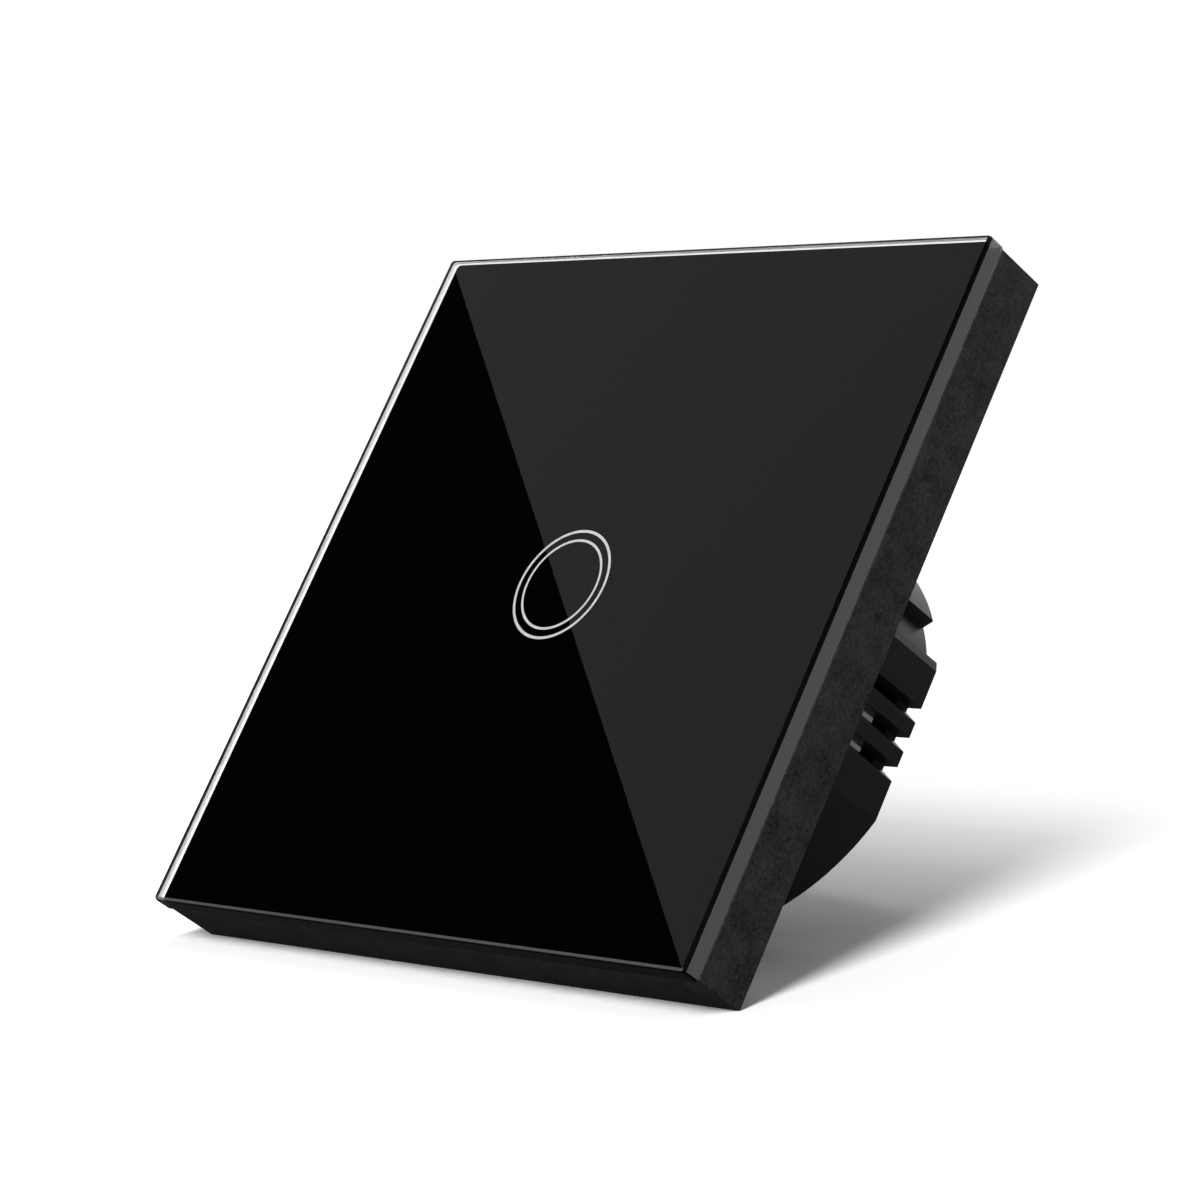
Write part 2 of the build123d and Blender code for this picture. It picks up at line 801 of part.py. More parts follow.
def transistor_tab():
    """Metal back of the power transistor, beside the slots: full width at its end, with a hole."""
    front = power_rear + transistor_lift
    rear = front + tab_length
    body = block(tab_back, tab_face, front, rear, tab_z - tab_width / 2, tab_z + tab_width / 2)
    hole = Plane(origin=(tab_face + overrun, rear - tab_hole_place, tab_z), z_dir=(-1, 0, 0))
    body -= extrude(hole * Circle(tab_hole_radius), tab_thickness + 2 * overrun)
    notch = Box(2 * tab_thickness, 2 * tab_neck, 2 * tab_neck)
    for z in (tab_z - tab_width / 2, tab_z + tab_width / 2):
        body -= Pos(tab_face, front + transistor_depth, z) * notch
    return body


def power_transistor():
    """Moulded body on the metal back, on three leads."""
    front = power_rear + transistor_lift
    body = block(tab_back - transistor_thickness, tab_back, front, front + transistor_depth,
                 tab_z - tab_width / 2, tab_z + tab_width / 2)
    lead = Rectangle(transistor_lead_thickness, transistor_lead_width)
    for index in (-1, 0, 1):
        place = Pos(tab_back - transistor_thickness / 2, tab_z + index * transistor_lead_spacing)
        body += prism(place * lead, power_rear, front)
    return body


def terminal_block():
    """Moulded block with a pocket for each cage, a well for each screw head and a hole for each wire."""
    body = prism(Pos(0, terminal_z) * Rectangle(block_width, block_height), power_rear, block_rear)
    body = chamfer(body.faces().sort_by(Axis.Y)[-1].edges(), block_edge)
    half_x = cage_width / 2 + cage_fit
    half_z = cage_length / 2 + cage_fit
    for x in terminal_xs():
        body -= block(x - half_x, x + half_x, cage_front - cage_fit, seat_front, terminal_z - half_z,
                      terminal_z + half_z)
        body -= rod(screw_radius + screw_hole_gap, seat_front - overrun, head_front + overrun, x, terminal_z)
        body -= rod(screw_head_radius + head_well_gap, head_front, block_rear + overrun, x, terminal_z)
        body -= wire_hole(x, -block_bottom, terminal_z - half_z)
        body -= contact_bar(x, cage_fit)
    return body


def contact_bar(x, extra=0):
    """Bar through a cage, held in the block at both ends, with a leg down to the board."""
    half = contact_width / 2 + extra
    near = terminal_z - cage_length / 2 - cage_side
    far = -block_bottom + block_height
    bar = block(x - half, x + half, contact_place - extra, contact_rear + extra, near, far)
    leg = block(x - half, x + half, power_rear, contact_rear + extra, far - contact_thickness - extra, far)
    return bar + leg


def terminal_contacts():
    """Two plated bars that the wires are clamped against."""
    return group([contact_bar(x) for x in terminal_xs()])


def terminal_cage(x):
    """Loop round the contact bar: a thick threaded wall behind it and a floor that lifts the wire."""
    half = cage_width / 2
    body = block(x - half, x + half, cage_front, cage_rear,
                 terminal_z - cage_length / 2, terminal_z + cage_length / 2)
    inner = half - cage_side
    body -= block(x - inner, x + inner, cage_floor_rear, cage_rear - cage_nut,
                  terminal_z - cage_length, terminal_z + cage_length)
    body -= rod(screw_radius + thread_fit, cage_rear - cage_nut - overrun, cage_rear + overrun, x, terminal_z)
    return body


def terminal_screw(x):
    """Clamping screw with a slotted head at the rear and its tip on the contact bar."""
    body = rod(screw_radius, contact_rear + contact_tip_gap, head_front, x, terminal_z)
    body += rod(screw_head_radius, head_front, head_rear, x, terminal_z)
    slot = screw_head_radius + overrun
    body -= block(x - slot, x + slot, head_rear - screw_slot_depth, head_rear + overrun,
                  terminal_z - screw_slot_width / 2, terminal_z + screw_slot_width / 2)
    return body


nodes = {
    "glass_panel": glass_panel(),
    "back_print": back_print(),
    "ring_print": ring_print(),
    "adhesive_tape": adhesive_tape(),
    "panel_frame": panel_frame(),
    "panel_clips": panel_clips(),
    "mounting_plate": mounting_plate(),
    "plate_screws": plate_screws(),
    "front_carrier": front_carrier(),
    "rear_housing": rear_housing(),
    "touch_board": touch_board(),
    "touch_chip": touch_chip(),
    "touch_passives": touch_passives(),
    "status_leds": status_leds(),
    "light_guide": light_guide(),
    "touch_spring": touch_spring(),
    "header_socket": header_socket(),
    "board_header": board_header(),
    "power_board": power_board(),
    "relay": relay(),
    "film_capacitor": film_capacitor(),
    "bulk_capacitor": bulk_capacitor(),
    "inductor": inductor(),
    "varistor": varistor(),
    "fuse_resistor": fuse_resistor(),
    "bridge_rectifier": bridge_rectifier(),
    "power_transistor": power_transistor(),
    "transistor_tab": transistor_tab(),
    "terminal_block": terminal_block(),
    "terminal_contacts": terminal_contacts(),
}
for number, x in enumerate(terminal_xs(), start=1):
    nodes[f"terminal_cage_{number}"] = terminal_cage(x)
    nodes[f"terminal_screw_{number}"] = terminal_screw(x)

os.makedirs("parts", exist_ok=True)
for name, shape in nodes.items():
    export_step(shape, f"parts/{name}.step")
    print(name, len(shape.solids()), round(shape.volume, 2))
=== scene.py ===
# %% [markdown]
# # A touch light switch with a glass front
# The switch is a square of black glass in a thin moulded frame. A round rear body goes into the wall box,
# and carries the boards and the terminals. Its working parts come in as finished solids at their real size.
# This lesson gives them their surfaces, models the pieces whose look needs a mesh of its own, and sets up
# the camera, the floor and the light.

# %% Load the solids
import math
import bpy
from mathutils import Matrix, Vector


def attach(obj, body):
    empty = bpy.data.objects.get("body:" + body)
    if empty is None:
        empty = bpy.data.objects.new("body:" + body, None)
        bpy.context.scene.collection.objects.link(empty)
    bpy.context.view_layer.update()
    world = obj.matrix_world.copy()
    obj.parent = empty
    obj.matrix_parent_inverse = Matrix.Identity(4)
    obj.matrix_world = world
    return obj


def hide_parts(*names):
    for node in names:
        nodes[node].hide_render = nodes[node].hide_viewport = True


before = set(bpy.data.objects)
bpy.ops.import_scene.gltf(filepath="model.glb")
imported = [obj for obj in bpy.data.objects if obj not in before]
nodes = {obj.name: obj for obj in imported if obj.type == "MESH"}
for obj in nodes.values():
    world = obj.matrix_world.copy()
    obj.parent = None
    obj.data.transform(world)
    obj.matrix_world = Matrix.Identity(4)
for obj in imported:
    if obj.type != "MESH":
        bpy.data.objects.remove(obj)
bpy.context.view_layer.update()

# %% [markdown]
# ## Units
# Blender works in metres, and a switch is read in millimetres, so every size below is a number times `MM`.
# Everything stays in the frame of the solids: a piece is made where it belongs, and nothing is fitted later.
# A few helpers do what the mouse does in the viewport: select, enter edit mode, apply a modifier.

# %% Units and small helpers
MM = 0.001


def only(piece):
    """Select one piece alone and make it the active one, because an operator acts on all that is selected."""
    bpy.ops.object.select_all(action="DESELECT")
    piece.select_set(True)
    bpy.context.view_layer.objects.active = piece


def started(name):
    """Name the primitive that was just added, and settle its size and place into its mesh."""
    piece = bpy.context.object
    piece.name = piece.data.name = name
    only(piece)
    bpy.ops.object.transform_apply(location=True, rotation=True, scale=True)
    return piece


def pick(piece, wanted, kind="FACE"):
    """Enter edit mode with the faces or edges selected that pass a test on their place."""
    only(piece)
    bpy.ops.object.mode_set(mode="EDIT")
    bpy.ops.mesh.select_mode(type=kind)
    bpy.ops.mesh.select_all(action="DESELECT")
    bpy.ops.object.mode_set(mode="OBJECT")
    mesh = piece.data
    if kind == "FACE":
        for face in mesh.polygons:
            face.select = wanted(face.center, face.normal)
    else:
        for edge in mesh.edges:
            ends = [mesh.vertices[index].co for index in edge.vertices]
            edge.select = wanted(*ends)
    bpy.ops.object.mode_set(mode="EDIT")


def done():
    """Leave edit mode."""
    bpy.ops.object.mode_set(mode="OBJECT")


def applied(piece, kind, **settings):
    """Add a modifier with its settings and apply it."""
    only(piece)
    modifier = piece.modifiers.new(kind.title(), kind)
    for key, value in settings.items():
        setattr(modifier, key, value)
    bpy.ops.object.modifier_apply(modifier=modifier.name)


def smooth(piece, angle=35):
    """Smooth shading that keeps edges sharper than an angle in degrees."""
    only(piece)
    bpy.ops.object.shade_smooth_by_angle(angle=math.radians(angle))


def coloured(piece, *materials):
    """Give a piece its materials, the first one all over."""
    piece.data.materials.clear()
    for material in materials:
        piece.data.materials.append(material)


print("one millimetre is", MM, "m")

# %% [markdown]
# ## Camera
# A photograph fixes its camera when enough corners of a known square are found in it. Solved that way, the
# camera stands to the lower right of the switch, 0.42 m away, with a long lens. A camera placed by eye would
# do for a picture, but only a solved one lets the render be laid over the photograph. It is kept as two
# directions in the frame of the switch: where it looks, and which way is up in the picture.

# %% Camera
camera_place = Vector((303.578, -252.912, -132.252)) * MM
camera_forward = Vector((-0.73018, 0.60304, 0.32123))
camera_up = Vector((-0.02948, -0.49751, 0.86696))
lens = 122.055
bpy.ops.object.camera_add()
camera = bpy.context.object
camera.name = "photo_camera"
across = camera_forward.cross(camera_up).normalized()
up = across.cross(camera_forward).normalized()
axes = Matrix((across, up, -camera_forward.normalized())).transposed()
camera.matrix_world = Matrix.Translation(camera_place) @ axes.to_4x4()
camera.data.lens = lens
camera.data.sensor_width = 36
camera.data.clip_start = 0.01
bpy.context.scene.camera = camera
print("camera distance", round(camera_place.length, 3), "m")

# %% [markdown]
# ## Floor
# The switch leans back: it touches the floor with the rear lower edge of its frame and with the lower rim
# of its rear body. In the frame of the switch the floor is therefore a tilted plane through those two
# lines. The switch could be tilted instead, but it has to stay in the frame of its solids. The upper side of
# the floor is white and takes the shadow. Seen from below it lets the camera through, so that the views from
# behind, which look up from under it, show the switch.

# %% Floor plane
frame_half = 39.8 * MM
body_radius = 24.1 * MM
body_depth = 24.2 * MM
rim_chamfer = 0.15 * MM
floor_size = 6.0
lean = math.atan2(frame_half - body_radius, body_depth - rim_chamfer)
floor_up = Vector((0, -math.sin(lean), math.cos(lean)))
bpy.ops.mesh.primitive_plane_add(size=floor_size, rotation=(lean, 0, 0), location=(0, 0, -frame_half))
floor = started("floor")
print("lean", round(math.degrees(lean), 2), "degrees")

# %% [markdown]
# ## Node helpers
# Every material is made of nodes. They could be placed by hand in the shader editor. In a script a short
# helper adds a node with its settings and inputs, and others stand for the kinds that come back often: a
# sum, a stretched value, a mix of two colours, and the group that several materials share.

# %% Node helpers
COLOUR = "NodeSocketColor"
FLOAT = "NodeSocketFloat"
VECTOR = "NodeSocketVector"


def node(tree, kind, inputs=None, **settings):
    """Add a shader node. An input is a value, or the output socket of another node."""
    item = tree.nodes.new("ShaderNode" + kind)
    for key, value in settings.items():
        setattr(item, key, value)
    for key, value in (inputs or {}).items():
        if isinstance(value, bpy.types.NodeSocket):
            tree.links.new(value, item.inputs[key])
        else:
            item.inputs[key].default_value = value
    return item


def maths(tree, operation, first, second=0.0, clamp=False):
    """A Math node on two values."""
    return node(tree, "Math", {0: first, 1: second}, operation=operation, use_clamp=clamp).outputs[0]


def ramp(tree, value, low, high):
    """A value stretched so that low becomes 0 and high becomes 1."""
    mapped = node(tree, "MapRange", {"Value": value, "From Min": low, "From Max": high})
    return mapped.outputs["Result"]


def mixed(tree, factor, first, second):
    """A colour between two colours."""
    mix = node(tree, "Mix", {0: factor, 6: first, 7: second}, data_type="RGBA")
    return mix.outputs[2]


def new_group(name, inputs, outputs):
    """A shader node group with named inputs and outputs. Inputs are (name, kind, default)."""
    tree = bpy.data.node_groups.new(name, "ShaderNodeTree")
    for label, kind, default in inputs:
        socket = tree.interface.new_socket(label, in_out="INPUT", socket_type=kind)
        socket.default_value = default
    for label, kind in outputs:
        tree.interface.new_socket(label, in_out="OUTPUT", socket_type=kind)
    return tree, tree.nodes.new("NodeGroupInput").outputs, tree.nodes.new("NodeGroupOutput").inputs


def grey(level):
    """A neutral colour from a linear level."""
    return (level, level, level, 1.0)


print("node helpers ready")

# %% [markdown]
# ## Shared effects
# Four effects come back on many surfaces. Moulded plastic has a fine spark-eroded grain that it takes from
# its tool. Handled edges are rubbed a little paler and smoother, and that paler edge is also a painted
# highlight. Dust settles in specks. Sheet metal has a rolled or brushed direction. Each could be built anew
# in every material. As a group it is made once, puts out masks, colours and heights, and each material places
# it with its own values.

# %% Moulded grain
def build_grain():
    """Fine pitted grain: a colour with mottling, a roughness and a height."""
    tree, given, out = new_group(
        "Moulded grain",
        [("Tone", COLOUR, grey(0.02)), ("Size", FLOAT, 3.0), ("Mottle", FLOAT, 0.15), ("Gloss", FLOAT, 0.45)],
        [("Color", COLOUR), ("Roughness", FLOAT), ("Height", FLOAT)],
    )
    place = node(tree, "TexCoord").outputs["Object"]
    scale = maths(tree, "DIVIDE", 1000.0, given["Size"])
    fine = node(tree, "TexNoise", {"Vector": place, "Scale": scale, "Detail": 3.0, "Roughness": 0.6})
    coarse = node(tree, "TexNoise", {"Vector": place, "Scale": maths(tree, "MULTIPLY", scale, 0.13)})
    pits = node(tree, "TexVoronoi", {"Vector": place, "Scale": scale})
    spread = maths(tree, "SUBTRACT", coarse.outputs[0], 0.5)
    speck = maths(tree, "SUBTRACT", fine.outputs[0], 0.5)
    tone = maths(tree, "ADD", maths(tree, "MULTIPLY", spread, 0.6), speck)
    swing = maths(tree, "MULTIPLY", given["Mottle"], 2.0)
    factor = maths(tree, "ADD", 1.0, maths(tree, "MULTIPLY", tone, swing))
    tint = node(tree, "VectorMath", {0: given["Tone"], "Scale": factor}, operation="SCALE")
    tree.links.new(tint.outputs[0], out["Color"])
    rough = maths(tree, "ADD", given["Gloss"], maths(tree, "MULTIPLY", tone, 0.16), clamp=True)
    tree.links.new(rough, out["Roughness"])
    tree.links.new(maths(tree, "ADD", fine.outputs[0], pits.outputs[0]), out["Height"])
    return tree


grain = build_grain()
print("group:", grain.name)


# %% Rubbed edges and painted highlight
def build_wear_and_sheen():
    """Mask of edges rubbed paler that also carries a painted highlight: where a rounded normal leaves the
    flat one, broken up by noise.
    """
    tree, given, out = new_group(
        "Edge wear", [("Width", FLOAT, 0.2), ("Amount", FLOAT, 0.6)], [("Mask", FLOAT)])
    rounded = node(tree, "Bevel", {"Radius": maths(tree, "MULTIPLY", given["Width"], MM)}, samples=4)
    flat = node(tree, "NewGeometry").outputs["Normal"]
    facing = node(tree, "VectorMath", {0: rounded.outputs[0], 1: flat}, operation="DOT_PRODUCT")
    bend = ramp(tree, maths(tree, "SUBTRACT", 1.0, facing.outputs["Value"]), 0.02, 0.25)
    place = node(tree, "TexCoord").outputs["Object"]
    patches = node(tree, "TexNoise", {"Vector": place, "Scale": 420.0, "Detail": 4.0})
    broken = ramp(tree, patches.outputs[0], 0.35, 0.75)
    edge_wear_and_sheen = maths(tree, "MULTIPLY", bend, broken)
    tree.links.new(maths(tree, "MULTIPLY", edge_wear_and_sheen, given["Amount"], clamp=True), out["Mask"])
    return tree


wear_and_sheen = build_wear_and_sheen()
print("group:", wear_and_sheen.name)


# %% Dust
def build_dust():
    """Mask of dust: single round specks of several sizes."""
    tree, given, out = new_group(
        "Dust", [("Amount", FLOAT, 0.3), ("Spacing", FLOAT, 2.5)], [("Mask", FLOAT)])
    place = node(tree, "TexCoord").outputs["Object"]
    scale = maths(tree, "DIVIDE", 1000.0, given["Spacing"])
    cells = node(tree, "TexVoronoi", {"Vector": place, "Scale": scale, "Randomness": 1.0})
    chance = node(tree, "SeparateColor", {0: cells.outputs["Color"]}).outputs
    size = maths(tree, "MULTIPLY", chance[0], 0.07)
    speck = maths(tree, "LESS_THAN", cells.outputs["Distance"], size)
    kept = maths(tree, "LESS_THAN", chance[1], given["Amount"])
    tree.links.new(maths(tree, "MULTIPLY", speck, kept), out["Mask"])
    return tree


dust = build_dust()
print("group:", dust.name)


# %% Rolled sheet metal
def build_rolled():
    """Long fine lines of rolled or brushed metal: a shade and a roughness."""
    tree, given, out = new_group(
        "Rolled metal", [("Stretch", VECTOR, (1.0, 1.0, 20.0)), ("Gloss", FLOAT, 0.3)],
        [("Shade", FLOAT), ("Roughness", FLOAT), ("Height", FLOAT)])
    place = node(tree, "TexCoord").outputs["Object"]
    lines = node(tree, "VectorMath", {0: place, 1: given["Stretch"]}, operation="MULTIPLY").outputs[0]
    streak = node(tree, "TexNoise", {"Vector": lines, "Scale": 400.0, "Detail": 5.0})
    cloud = node(tree, "TexNoise", {"Vector": place, "Scale": 90.0, "Detail": 2.0})
    both = maths(tree, "ADD", maths(tree, "MULTIPLY", streak.outputs[0], 0.6),
                 maths(tree, "MULTIPLY", cloud.outputs[0], 0.4))
    tree.links.new(both, out["Shade"])
    tree.links.new(maths(tree, "ADD", given["Gloss"], maths(tree, "MULTIPLY", both, 0.25)), out["Roughness"])
    tree.links.new(streak.outputs[0], out["Height"])
    return tree


rolled = build_rolled()
print("group:", rolled.name)


# %% Place a group in a material
def placed(tree, group, **values):
    """Put a shared group into a material with its own values."""
    item = tree.nodes.new("ShaderNodeGroup")
    item.node_tree = group
    for key, value in values.items():
        item.inputs[key].default_value = value
    return item.outputs


def new_material(name, **values):
    """A material with one Principled shader, whose plain values are set on its own sockets."""
    material = bpy.data.materials.new(name.replace(" ", "_"))
    material.use_nodes = True
    shader = material.node_tree.nodes["Principled BSDF"]
    for key, value in values.items():
        shader.inputs[key.replace("_", " ")].default_value = value
    return material, material.node_tree, shader


def bumped(tree, shader, height, depth, rounding=0.08):
    """Turn a height between 0 and 1 into a normal. The depth is in metres, the rounding of edges in mm."""
    soft = node(tree, "Bevel", {"Radius": rounding * MM}, samples=4)
    bump = node(tree, "Bump", {"Height": height, "Distance": depth, "Normal": soft.outputs[0]})
    tree.links.new(bump.outputs[0], shader.inputs["Normal"])


print("groups can be placed")

# %% [markdown]
# ## Moulded plastics
# The frame, the rear body and the carrier are one family of plastic: matt, grained, a little paler where they
# are rubbed, which is also a painted highlight along their edges, and with some dust. The grain could be
# modelled, but that would take millions of faces. So a bump in the material does it, and rounds the edges as
# well, because no moulded edge is knife sharp. One function makes all the plastics, and their numbers tell
# them apart.

# %% Moulded plastic
def moulded(name, tone, gloss=0.45, size=0.25, mottle=0.15, depth=0.012, edge_wear_and_sheen=0.5, dusty=0.25, shine=0.25):
    """Matt moulded plastic with grain, edges rubbed paler with a painted highlight, and dust. The tone is a
    grey level or a colour.
    """
    colour = (*tone, 1.0) if isinstance(tone, tuple) else grey(tone)
    material, tree, shader = new_material(name, IOR=1.5, Specular_IOR_Level=shine)
    surface = placed(tree, grain, Tone=colour, Size=size, Mottle=mottle, Gloss=gloss)
    edges = placed(tree, wear_and_sheen, Width=0.25, Amount=edge_wear_and_sheen)
    specks = placed(tree, dust, Amount=dusty)
    # Paler edges: rubbed, and a painted highlight along the edge.
    pale = tuple(min(1.0, value * 2.2 + 0.01) for value in colour[:3]) + (1.0,)
    rubbed = mixed(tree, edges["Mask"], surface["Color"], pale)
    dusted = mixed(tree, maths(tree, "MULTIPLY", specks["Mask"], 0.5), rubbed, grey(0.25))
    tree.links.new(dusted, shader.inputs["Base Color"])
    smoother = maths(tree, "MULTIPLY", edges["Mask"], 0.12)
    tree.links.new(maths(tree, "SUBTRACT", surface["Roughness"], smoother, clamp=True),
                   shader.inputs["Roughness"])
    bumped(tree, shader, surface["Height"], depth * MM)
    return material


frame_black = moulded("frame black", 0.019, gloss=0.55, size=0.35, mottle=1.3, depth=0.03, dusty=0.1,
                      shine=0.15)
body_black = moulded("rear body black", 0.015, gloss=0.38, mottle=0.2, dusty=0.1, shine=0.3)
carrier_black = moulded("carrier black", 0.02, gloss=0.4)
block_grey = moulded("terminal block grey", 0.12, gloss=0.35)
strip_black = moulded("pin strip black", 0.012, gloss=0.3, size=0.12, dusty=0.0)
chip_black = moulded("chip black", 0.015, gloss=0.4, size=0.1, dusty=0.0)
relay_blue = moulded("relay case", (0.02, 0.09, 0.28), gloss=0.25, dusty=0.05)
film_yellow = moulded("film capacitor case", (0.55, 0.32, 0.03), gloss=0.3, dusty=0.05)
sleeve_black = moulded("capacitor sleeve", 0.014, gloss=0.22, size=0.4, dusty=0.0)
varistor_blue = moulded("varistor coat", (0.02, 0.06, 0.3), gloss=0.2, depth=0.03, dusty=0.0)
ferrite_grey = moulded("ferrite core", 0.05, gloss=0.5, size=0.12, dusty=0.0)
resistor_grey = moulded("resistor coat", (0.16, 0.25, 0.2), gloss=0.3, dusty=0.0)
print("materials after the plastics:", len(bpy.data.materials))

# %% [markdown]
# ## Metals
# The plate is zinc-plated steel with rolling lines, the springs are bright steel, the terminals are nickel
# plated and the back of the transistor is tinned copper, dull and almost white. Noise that is stretched in
# one direction makes the lines. A picture of brushed metal would too, but it would show its seams. One
# function makes all the metals from a colour, a gloss and the direction of their lines.

# %% Metal
def metal(name, colour, gloss=0.25, lines=(1.0, 1.0, 20.0), spread=0.25, depth=0.003, edge_wear_and_sheen=0.3, bare=1.0):
    """Plated or rolled metal with fine lines and cloudy plating."""
    material, tree, shader = new_material(name, Metallic=bare)
    sheet = placed(tree, rolled, Stretch=lines, Gloss=gloss)
    edges = placed(tree, wear_and_sheen, Width=0.15, Amount=edge_wear_and_sheen)
    dark = tuple(value * (1 - spread) for value in colour) + (1.0,)
    plated = mixed(tree, ramp(tree, sheet["Shade"], 0.3, 0.7), dark, (*colour, 1.0))
    # Brighter edges: rubbed, and a painted highlight along the edge.
    bright = tuple(min(1.0, value * 1.15) for value in colour) + (1.0,)
    tree.links.new(mixed(tree, edges["Mask"], plated, bright), shader.inputs["Base Color"])
    tree.links.new(sheet["Roughness"], shader.inputs["Roughness"])
    bumped(tree, shader, sheet["Height"], depth * MM)
    return material


zinc_steel = metal("zinc plated steel", (0.62, 0.63, 0.62), gloss=0.28)
spring_steel = metal("spring steel", (0.55, 0.54, 0.52), gloss=0.2, lines=(1.0, 1.0, 8.0))
screw_steel = metal("screw steel", (0.6, 0.6, 0.58), gloss=0.2, lines=(6.0, 1.0, 6.0))
tinned_copper = metal("tinned copper", (0.86, 0.85, 0.83), gloss=0.32, lines=(1.0, 12.0, 1.0), bare=0.15)
nickel_brass = metal("nickel plated brass", (0.68, 0.66, 0.6), gloss=0.22, lines=(1.0, 6.0, 1.0))
touch_wire = metal("touch spring wire", (0.7, 0.6, 0.35), gloss=0.18, lines=(4.0, 4.0, 4.0))
print("materials after the metals:", len(bpy.data.materials))

# %% [markdown]
# ## Circuit boards
# A board is woven glass under a green lacquer, with copper traces that stand up a little under it and bare
# tinned pads. Traces could be modelled one by one. The boards show only when the front is off, so a brick
# pattern stands for the traces and round cells for the pads.

# %% Circuit board
def board(name, lacquer, pitch=2.2):
    """Green lacquer over traces, with tinned pads."""
    material, tree, shader = new_material(name, IOR=1.5)
    place = node(tree, "TexCoord").outputs["Object"]
    flat = node(tree, "Mapping", {"Vector": place, "Rotation": (math.pi / 2, 0, 0)}).outputs[0]
    rows = node(tree, "TexBrick", {
        "Vector": flat, "Color1": grey(1.0), "Color2": grey(0.6), "Mortar": grey(0.0),
        "Scale": 1000.0 / pitch, "Mortar Size": 0.12, "Brick Width": 3.0, "Row Height": 0.5})
    weave = node(tree, "TexNoise", {"Vector": flat, "Scale": 2600.0, "Detail": 1.0})
    over = (*lacquer, 1.0)
    trace = tuple(min(1.0, value * 1.9) for value in lacquer) + (1.0,)
    drawn = mixed(tree, rows.outputs[0], trace, over)
    woven = mixed(tree, maths(tree, "MULTIPLY", weave.outputs[0], 0.35), drawn, grey(0.0))
    pads = node(tree, "TexVoronoi", {"Vector": flat, "Scale": 1000.0 / (3 * pitch)})
    pad = maths(tree, "LESS_THAN", pads.outputs["Distance"], 0.09)
    tree.links.new(mixed(tree, pad, woven, grey(0.55)), shader.inputs["Base Color"])
    tree.links.new(pad, shader.inputs["Metallic"])
    rough = maths(tree, "ADD", 0.22, maths(tree, "MULTIPLY", weave.outputs[0], 0.15))
    tree.links.new(rough, shader.inputs["Roughness"])
    bumped(tree, shader, rows.outputs[0], -0.02 * MM)
    return material


touch_lacquer = board("touch board lacquer", (0.01, 0.09, 0.035))
power_lacquer = board("power board lacquer", (0.012, 0.075, 0.03), pitch=3.0)
print("boards:", touch_lacquer.name, power_lacquer.name)

# %% [markdown]
# ## Ink, tape, lamp and light guide
# The ink behind the glass is as black as ink gets, and the two rings are a pale grey ink, a little uneven.
# Both lie against the glass, so they have no gloss of their own. The foam tape is full of tiny cells, which
# the plastic's grain gives when it is finer and rougher. The light guide and the lamp lenses are milky: they
# let light through and scatter it, so their material is part transmission and part subsurface.

# %% Ink and tape
def ink(name, level, gloss, spread):
    """Printed ink, slightly uneven."""
    material, tree, shader = new_material(name, IOR=1.45)
    place = node(tree, "TexCoord").outputs["Object"]
    clouds = node(tree, "TexNoise", {"Vector": place, "Scale": 1500.0, "Detail": 3.0})
    tree.links.new(mixed(tree, clouds.outputs[0], grey(level * (1 - spread)), grey(level * (1 + spread))),
                   shader.inputs["Base Color"])
    shader.inputs["Roughness"].default_value = gloss
    shader.inputs["Specular IOR Level"].default_value = 0.0
    return material


black_ink = ink("black back print", 0.0006, 0.6, 0.3)
pale_ink = ink("pale ring print", 0.45, 0.5, 0.05)
tape_black = moulded("foam tape", 0.006, gloss=0.8, size=0.08, mottle=0.5, depth=0.04, edge_wear_and_sheen=0.0, dusty=0.0)
print("inks:", black_ink.name, pale_ink.name)


# %% Light guide and lamps
def milky(name, colour):
    """Clear plastic with a soft haze in it."""
    material, tree, shader = new_material(name, IOR=1.49, Transmission_Weight=0.7, Subsurface_Weight=0.3)
    place = node(tree, "TexCoord").outputs["Object"]
    haze = node(tree, "TexNoise", {"Vector": place, "Scale": 900.0})
    tree.links.new(mixed(tree, haze.outputs[0], (*colour, 1.0), grey(0.9)), shader.inputs["Base Color"])
    tree.links.new(ramp(tree, haze.outputs[0], -0.6, 1.4), shader.inputs["Roughness"])
    return material


guide_clear = milky("light guide", (0.85, 0.87, 0.88))
lamp_yellow = milky("lamp lens", (0.9, 0.75, 0.35))
print("milky:", guide_clear.name, lamp_yellow.name)

# %% [markdown]
# ## Glass
# The front is 2 mm float glass. Its faces are polished, and its narrow sides are ground, which scatters light
# like frost. That scattered light, seen through the polished front, is the white line along the left edge and
# the top, helped by a bright colour painted on the inside of the ground sides behind a painted dark rim,
# while from outside those sides are painted a dull grey for the dark inside. A glowing strip would be easier,
# but it would glow in every view. So the sheet is one piece with three finishes: polished on its faces,
# ground on its sides, and dark along its lower side and on the facets of its front edge, which is painted
# shade.

# %% Glass finishes
def glass(name, gloss, smears):
    """Clear glass with a plain transmission, and smears that only show in its gloss."""
    material, tree, shader = new_material(name, IOR=1.52, Transmission_Weight=1.0, Metallic=0.0)
    place = node(tree, "TexCoord").outputs["Object"]
    wiped = node(tree, "TexNoise", {"Vector": place, "Scale": 60.0, "Detail": 5.0, "Distortion": 1.2})
    spot = ramp(tree, wiped.outputs[0], 0.55, 0.8)
    tree.links.new(maths(tree, "ADD", gloss, maths(tree, "MULTIPLY", spot, smears)),
                   shader.inputs["Roughness"])
    shader.inputs["Base Color"].default_value = grey(1.0)
    return material


